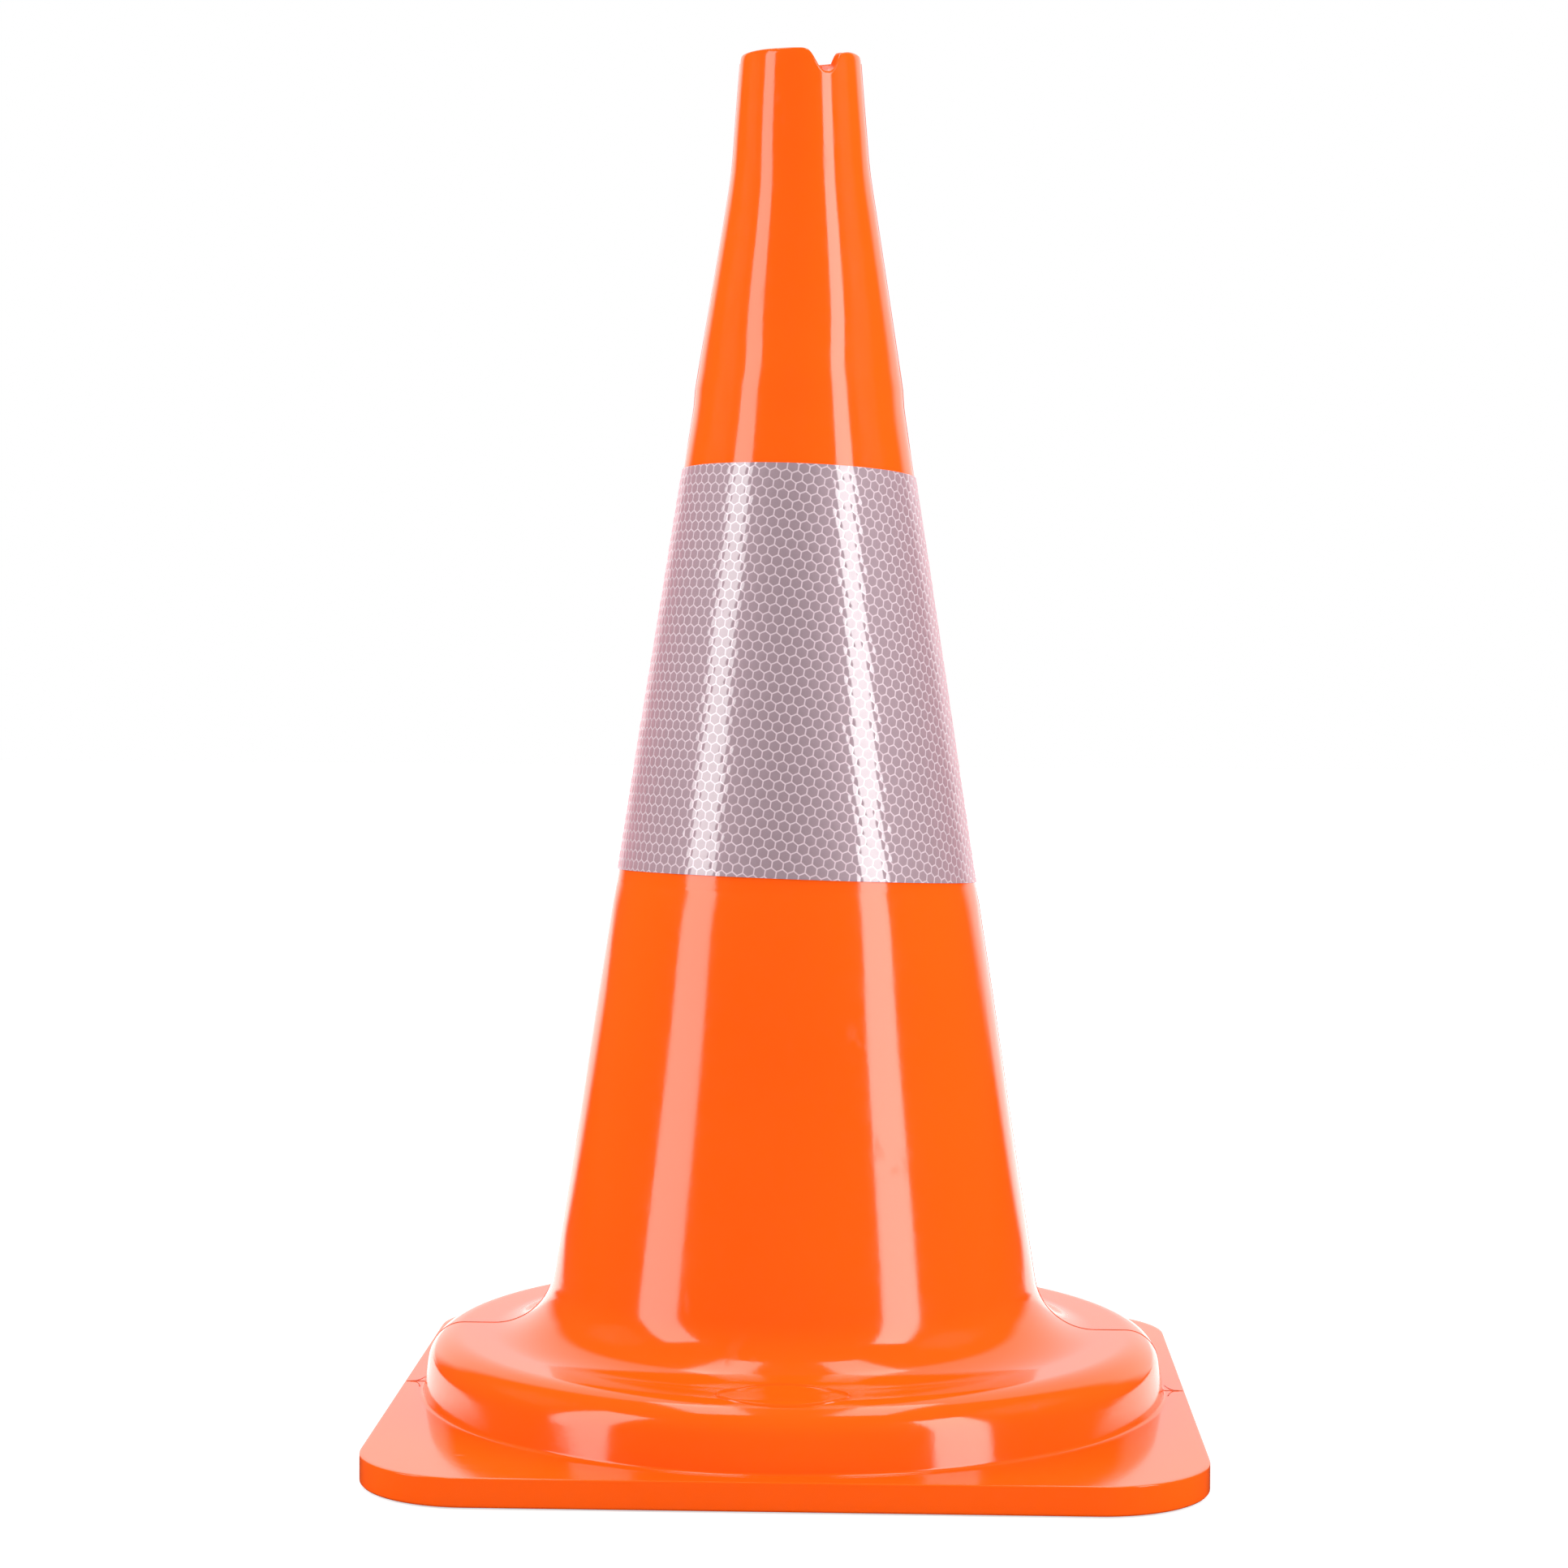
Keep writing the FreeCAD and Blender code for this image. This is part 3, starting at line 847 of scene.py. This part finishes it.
def glossy_moulded_pvc():
    """Soft PVC moulded against polished steel: a strong warm orange with a clear,
    slightly soft gloss. The colour drifts a little where the melt flowed. The skin
    has a faint orange peel about 2 mm across, a cloudy grain in the gloss from 4.5 mm
    down, and faint dull upright scuffs a centimetre or two long from stacking."""
    material, tree = new_material("glossy_moulded_pvc")
    place = add(tree, "ShaderNodeTexCoord").outputs["Object"]
    flow = add(
        tree, "ShaderNodeTexNoise", {"Scale": grain_scale(110.0), "Detail": 2.0},
        {"Vector": place})
    drift = add(
        tree, "ShaderNodeMix",
        {"data_type": "RGBA", 6: colour("FD560A"), 7: colour("FF610F")},
        {0: flow.outputs["Fac"]})
    grain = add(
        tree, "ShaderNodeTexNoise", {"Scale": grain_scale(4.5), "Detail": 3.0}, {"Vector": place})
    gloss = add(
        tree, "ShaderNodeMapRange",
        {"From Min": 0.3, "From Max": 0.7, "To Min": 0.08, "To Max": 0.125},
        {"Value": grain.outputs["Fac"]})
    drawn = add(
        tree, "ShaderNodeMapping", {"Scale": (1.0, 1.0, 0.35)}, {"Vector": place})
    marks = add(
        tree, "ShaderNodeTexNoise", {"Scale": grain_scale(11.0), "Detail": 4.0, "Roughness": 0.65},
        {"Vector": drawn.outputs["Vector"]})
    scuffs = add(
        tree, "ShaderNodeMapRange",
        {"From Min": 0.66, "From Max": 0.74, "To Min": 0.0, "To Max": 0.14},
        {"Value": marks.outputs["Fac"]})
    worn = add(
        tree, "ShaderNodeMath", {"operation": "ADD"},
        {0: gloss.outputs["Result"], 1: scuffs.outputs["Result"]})
    peel = add(
        tree, "ShaderNodeTexNoise", {"Scale": grain_scale(2.0), "Detail": 1.0}, {"Vector": place})
    skin = add(
        tree, "ShaderNodeBump", {"Strength": 0.02, "Distance": 0.0004},
        {"Height": peel.outputs["Fac"]})
    shader = add(
        tree, "ShaderNodeBsdfPrincipled", {"IOR": 1.53},
        {"Base Color": drift.outputs[2], "Roughness": worn.outputs["Value"],
         "Normal": skin.outputs["Normal"]})
    add(tree, "ShaderNodeOutputMaterial", links={"Surface": shader.outputs["BSDF"]})
    return material


def trimmed_pvc_flash():
    """PVC flash, torn or trimmed off along the parting line: the same plastic with a rough
    dull face, mottled with some grime and coloured darker than the body as painted shade, so that
    it reads as a thin dark line."""
    material, tree = new_material("trimmed_pvc_flash")
    place = add(tree, "ShaderNodeTexCoord").outputs["Object"]
    grime_and_shade = add(
        tree, "ShaderNodeTexNoise", {"Scale": grain_scale(6.0), "Detail": 3.0}, {"Vector": place})
    # Both tones are darker than the body: painted shade of the parting line's crease, mottled by
    # the grime noise.
    tint = add(
        tree, "ShaderNodeMix", {"data_type": "RGBA", 6: colour("A83C10"), 7: colour("D85216")},
        {0: grime_and_shade.outputs["Fac"]})
    shader = add(
        tree, "ShaderNodeBsdfPrincipled", {"Roughness": 0.55, "IOR": 1.53},
        {"Base Color": tint.outputs[2]})
    add(tree, "ShaderNodeOutputMaterial", links={"Surface": shader.outputs["BSDF"]})
    return material


def embossed_prism_cell():
    """Clear film over embossed microprisms in an air-backed cell: a grey mauve with
    a soft metallic sheen under a sharp gloss. The prisms' rows show as a fine
    cross hatch, really about 0.2 mm apart and drawn at PRISM_PITCH so that it shows.
    A wave texture repeats 20 times in 2 pi at a scale of 1."""
    material, tree = new_material("embossed_prism_cell")
    place = add(tree, "ShaderNodeUVMap", {"uv_map": "sheet"}).outputs["UV"]
    hatch = []
    for lean in (34.0, -34.0):
        turned = add(
            tree, "ShaderNodeMapping", {"Rotation": (0.0, 0.0, math.radians(lean))},
            {"Vector": place})
        hatch.append(add(
            tree, "ShaderNodeTexWave", {"Scale": 2.0 * math.pi / (20.0 * PRISM_PITCH * MM)},
            {"Vector": turned.outputs["Vector"]}))
    both = add(
        tree, "ShaderNodeMath", {"operation": "MULTIPLY"},
        {0: hatch[0].outputs["Fac"], 1: hatch[1].outputs["Fac"]})
    tint = add(
        tree, "ShaderNodeMix",
        {"data_type": "RGBA", 6: colour("A38F97"), 7: colour("B8A4AC")},
        {0: both.outputs["Value"]})
    shader = add(
        tree, "ShaderNodeBsdfPrincipled",
        {"Metallic": 0.35, "Roughness": 0.6, "IOR": 1.5, "Coat Weight": 1.0,
         "Coat Roughness": 0.05, "Coat IOR": 1.75, "Sheen Weight": 1.0,
         "Sheen Roughness": 0.5, "Sheen Tint": colour("FFACBA")},
        {"Base Color": tint.outputs[2]})
    add(tree, "ShaderNodeOutputMaterial", links={"Surface": shader.outputs["BSDF"]})
    return material


def sealed_lattice_line():
    """White film welded to the face film along the honeycomb's lines: a pale pinkish
    white, smooth under the same gloss."""
    material, tree = new_material("sealed_lattice_line")
    place = add(tree, "ShaderNodeUVMap", {"uv_map": "sheet"}).outputs["UV"]
    weld = add(tree, "ShaderNodeTexNoise", {"Scale": grain_scale(1.7)}, {"Vector": place})
    tint = add(
        tree, "ShaderNodeMix",
        {"data_type": "RGBA", 6: colour("D2BAC3"), 7: colour("E2CDD5")},
        {0: weld.outputs["Fac"]})
    shader = add(
        tree, "ShaderNodeBsdfPrincipled",
        {"Metallic": 0.1, "Roughness": 0.5, "IOR": 1.5, "Coat Weight": 1.0,
         "Coat Roughness": 0.05, "Coat IOR": 1.75},
        {"Base Color": tint.outputs[2]})
    add(tree, "ShaderNodeOutputMaterial", links={"Surface": shader.outputs["BSDF"]})
    return material


def cut_film(name, low, high, roughness):
    """A film that shows only at its cut edge: a plain tone with a slight mottle."""
    material, tree = new_material(name)
    place = add(tree, "ShaderNodeTexCoord").outputs["Object"]
    mottle = add(tree, "ShaderNodeTexNoise", {"Scale": grain_scale(3.3)}, {"Vector": place})
    tint = add(
        tree, "ShaderNodeMix", {"data_type": "RGBA", 6: colour(low), 7: colour(high)},
        {0: mottle.outputs["Fac"]})
    shader = add(
        tree, "ShaderNodeBsdfPrincipled", {"Roughness": roughness, "IOR": 1.5},
        {"Base Color": tint.outputs[2]})
    add(tree, "ShaderNodeOutputMaterial", links={"Surface": shader.outputs["BSDF"]})
    return material


# Studio

def pale_floor():
    """Matt white board. Seen directly it is lifted to the backdrop's white, fully
    so away from the object, less so near it, where it takes its shadow, and not at
    all inside the hollow. In reflections it is a white sweep of paper, widening
    behind the object, and dark under the object, in front and at the sides."""
    material, tree = new_material("matt_white_board")
    place = add(tree, "ShaderNodeTexCoord").outputs["Object"]
    away = add(tree, "ShaderNodeVectorMath", {"operation": "LENGTH"}, {0: place})
    blend = add(
        tree, "ShaderNodeMapRange",
        {"From Min": 0.25, "From Max": 0.5, "To Min": 0.62, "To Max": 1.0,
         "interpolation_type": "SMOOTHSTEP"},
        {"Value": away.outputs["Value"]})
    outside = add(
        tree, "ShaderNodeMath", {"operation": "GREATER_THAN", 1: UNDER_CONE},
        {0: away.outputs["Value"]})
    open_floor = add(
        tree, "ShaderNodeMath", {"operation": "MULTIPLY"},
        {0: blend.outputs["Result"], 1: outside.outputs["Value"]})
    path = add(tree, "ShaderNodeLightPath")
    direct = add(
        tree, "ShaderNodeMath", {"operation": "MULTIPLY"},
        {0: open_floor.outputs["Value"], 1: path.outputs["Is Camera Ray"]})
    split = add(tree, "ShaderNodeSeparateXYZ", None, {"Vector": place})
    behind = add(
        tree, "ShaderNodeMapRange",
        {"From Min": -0.04, "From Max": 0.06, "interpolation_type": "SMOOTHSTEP"},
        {"Value": split.outputs["Y"]})
    widening = add(
        tree, "ShaderNodeMath", {"operation": "MULTIPLY", 1: PAPER_WIDENING},
        {0: split.outputs["Y"]})
    half_width = add(
        tree, "ShaderNodeMath", {"operation": "MAXIMUM", 1: PAPER_HALF_WIDTH},
        {0: widening.outputs["Value"]})
    aside = add(
        tree, "ShaderNodeMath", {"operation": "ABSOLUTE"}, {0: split.outputs["X"]})
    beyond = add(
        tree, "ShaderNodeMath", {"operation": "DIVIDE"},
        {0: aside.outputs["Value"], 1: half_width.outputs["Value"]})
    within = add(
        tree, "ShaderNodeMapRange",
        {"From Min": 1.15, "From Max": 0.85, "interpolation_type": "SMOOTHSTEP"},
        {"Value": beyond.outputs["Value"]})
    paper = add(
        tree, "ShaderNodeMath", {"operation": "MULTIPLY"},
        {0: behind.outputs["Result"], 1: within.outputs["Result"]})
    sweep = add(
        tree, "ShaderNodeMath", {"operation": "MULTIPLY"},
        {0: paper.outputs["Value"], 1: outside.outputs["Value"]})
    mirrored = add(
        tree, "ShaderNodeMath", {"operation": "MULTIPLY"},
        {0: sweep.outputs["Value"], 1: path.outputs["Is Glossy Ray"]})
    lift = add(
        tree, "ShaderNodeMath", {"operation": "ADD"},
        {0: direct.outputs["Value"], 1: mirrored.outputs["Value"]})
    mirrored_dark = add(
        tree, "ShaderNodeMath", {"operation": "SUBTRACT"},
        {0: path.outputs["Is Glossy Ray"], 1: mirrored.outputs["Value"]})
    tone = add(
        tree, "ShaderNodeMix",
        {"data_type": "RGBA", 6: colour("C0C0C0"), 7: colour("303030")},
        {0: mirrored_dark.outputs["Value"]})
    shader = add(tree, "ShaderNodeBsdfDiffuse", None, {"Color": tone.outputs[2]})
    glow = add(
        tree, "ShaderNodeEmission", {"Color": (1.0, 1.0, 1.0, 1.0)},
        {"Strength": lift.outputs["Value"]})
    both = add(
        tree, "ShaderNodeAddShader", None,
        {0: shader.outputs["BSDF"], 1: glow.outputs["Emission"]})
    add(tree, "ShaderNodeOutputMaterial", links={"Surface": both.outputs["Shader"]})
    square = np.array([[-1.0, -1.0, 0.0], [1.0, -1.0, 0.0], [1.0, 1.0, 0.0], [-1.0, 1.0, 0.0]])
    mesh = new_mesh("floor", FLOOR_HALF / MM * square, [(0, 1, 2, 3)])
    mesh.materials.append(material)
    floor = bpy.data.objects.new("floor", mesh)
    floor.location.z = -FLOOR_DROP
    bpy.context.scene.collection.objects.link(floor)


def studio_world():
    """White to the camera. In reflections the room is white behind the object, from
    the floor to high overhead and wider as it rises, and dark on the other sides.
    Its diffuse light is a plain grey. Facing is the cosine of the angle between a
    level heading and the backdrop's."""
    world = bpy.data.worlds.new("studio")
    bpy.context.scene.world = world
    world.use_nodes = True
    tree = world.node_tree
    tree.nodes.clear()
    path = add(tree, "ShaderNodeLightPath")
    direction = add(tree, "ShaderNodeTexCoord").outputs["Generated"]
    heading = add(
        tree, "ShaderNodeVectorMath", {"operation": "MULTIPLY", 1: (1.0, 1.0, 0.0)},
        {0: direction})
    heading = add(
        tree, "ShaderNodeVectorMath", {"operation": "NORMALIZE"},
        {0: heading.outputs["Vector"]})
    azimuth = math.radians(BACKDROP_AZIMUTH)
    backdrop_heading = (math.sin(azimuth), -math.cos(azimuth), 0.0)
    facing = add(
        tree, "ShaderNodeVectorMath", {"operation": "DOT_PRODUCT", 1: backdrop_heading},
        {0: heading.outputs["Vector"]})
    height = add(tree, "ShaderNodeSeparateXYZ", None, {"Vector": direction})
    low = add(
        tree, "ShaderNodeMath", {"operation": "MINIMUM", 1: 0.3},
        {0: height.outputs["Z"]})
    widened = add(
        tree, "ShaderNodeMath", {"operation": "MULTIPLY_ADD", 1: 0.5},
        {0: low.outputs["Value"], 2: facing.outputs["Value"]})
    behind = add(
        tree, "ShaderNodeMapRange",
        {"From Min": 0.757, "From Max": 0.9, "To Min": 0.0, "To Max": BACKDROP_GLOW,
         "interpolation_type": "SMOOTHSTEP"},
        {"Value": widened.outputs["Value"]})
    below_top = add(
        tree, "ShaderNodeMapRange",
        {"From Min": 0.98, "From Max": 0.9, "interpolation_type": "SMOOTHSTEP"},
        {"Value": height.outputs["Z"]})
    backdrop = add(
        tree, "ShaderNodeMath", {"operation": "MULTIPLY"},
        {0: behind.outputs["Result"], 1: below_top.outputs["Result"]})
    room = add(
        tree, "ShaderNodeMath", {"operation": "ADD", 1: ROOM_GLOW},
        {0: backdrop.outputs["Value"]})
    mirrored = add(
        tree, "ShaderNodeMath", {"operation": "MULTIPLY"},
        {0: room.outputs["Value"], 1: path.outputs["Is Glossy Ray"]})
    seen = add(
        tree, "ShaderNodeMath", {"operation": "MAXIMUM"},
        {0: path.outputs["Is Camera Ray"], 1: path.outputs["Is Transmission Ray"]})
    special = add(
        tree, "ShaderNodeMath", {"operation": "MAXIMUM"},
        {0: seen.outputs["Value"], 1: path.outputs["Is Glossy Ray"]})
    ambient = add(
        tree, "ShaderNodeMath", {"operation": "MULTIPLY_ADD", 1: -AMBIENT, 2: AMBIENT},
        {0: special.outputs["Value"]})
    lit = add(
        tree, "ShaderNodeMath", {"operation": "ADD"},
        {0: seen.outputs["Value"], 1: mirrored.outputs["Value"]})
    strength = add(
        tree, "ShaderNodeMath", {"operation": "ADD"},
        {0: lit.outputs["Value"], 1: ambient.outputs["Value"]})
    background = add(
        tree, "ShaderNodeBackground", {"Color": (1.0, 1.0, 1.0, 1.0)},
        {"Strength": strength.outputs["Value"]})
    add(tree, "ShaderNodeOutputWorld", links={"Surface": background.outputs["Background"]})


def add_area_lamp(name, width, height, energy):
    """A rectangular lamp at the origin, facing down."""
    light = bpy.data.lights.new(name, "AREA")
    light.shape = "RECTANGLE"
    light.size = width
    light.size_y = height
    light.energy = energy
    lamp = bpy.data.objects.new(name, light)
    bpy.context.scene.collection.objects.link(lamp)
    return lamp


def add_softbox(name, azimuth, distance, low, high, width, energy, roll=0.0, mirrored=True):
    """An upright softbox that faces the cone's axis. One that isn't mirrored lights
    the object but shows in no reflection."""
    lamp = add_area_lamp(name, width, high - low, energy)
    lamp.visible_glossy = mirrored
    angle = math.radians(azimuth)
    middle = (low + high) / 2
    lamp.location = (distance * math.sin(angle), -distance * math.cos(angle), middle)
    facing = Matrix.Rotation(angle, 3, "Z") @ Matrix.Rotation(RIGHT_ANGLE, 3, "X")
    lamp.rotation_euler = (facing @ Matrix.Rotation(math.radians(roll), 3, "Z")).to_euler()


def add_overheads():
    """Two level softboxes overhead, one on each side."""
    for name, side in (("overhead_left", -1.0), ("overhead_right", 1.0)):
        lamp = add_area_lamp(name, OVERHEAD_WIDTH, OVERHEAD_DEPTH, OVERHEAD_ENERGY)
        lamp.location = (side * OVERHEAD_ACROSS, OVERHEAD_BACK, OVERHEAD_HEIGHT)


def add_camera():
    """The camera, from its place round the cone and its small pan, tilt and roll."""
    data = bpy.data.cameras.new("camera")
    data.lens = CAMERA_LENS
    data.sensor_width = 36.0
    data.clip_end = 50.0
    camera = bpy.data.objects.new("camera", data)
    bpy.context.scene.collection.objects.link(camera)
    azimuth = math.radians(CAMERA_AZIMUTH)
    camera.location = (
        CAMERA_DISTANCE * math.sin(azimuth), -CAMERA_DISTANCE * math.cos(azimuth), CAMERA_HEIGHT)
    heading = Matrix.Rotation(math.radians(CAMERA_AZIMUTH + CAMERA_PAN), 3, "Z")
    pitch = Matrix.Rotation(math.radians(90.0 - CAMERA_TILT), 3, "X")
    roll = Matrix.Rotation(math.radians(CAMERA_ROLL), 3, "Z")
    camera.rotation_euler = (heading @ pitch @ roll).to_euler()
    bpy.context.scene.camera = camera


def main():
    """The studio, then the pieces of the moulding and of the collar."""
    bpy.context.scene.view_settings.view_transform = "Standard"
    add_camera()
    studio_world()
    pale_floor()
    for softbox in SOFTBOXES:
        add_softbox(**softbox)
    add_overheads()
    pvc = glossy_moulded_pvc()
    build_moulding(pvc)
    build_flash(trimmed_pvc_flash())
    build_oval(pvc)
    build_ribs(pvc)
    adhesive = cut_film("cured_adhesive", "D9CDBB", "E6DCCB", 0.6)
    build_film("collar_adhesive", adhesive)
    seal_film = cut_film("white_seal_film", "EBDDE2", "F4E9ED", 0.4)
    build_film("collar_seal_film", seal_film)
    prism_film = cut_film("clear_prism_film", "C9B4BC", "D9C6CD", 0.3)
    build_film("collar_prism_film", prism_film)
    build_face_film(embossed_prism_cell(), sealed_lattice_line())


main()
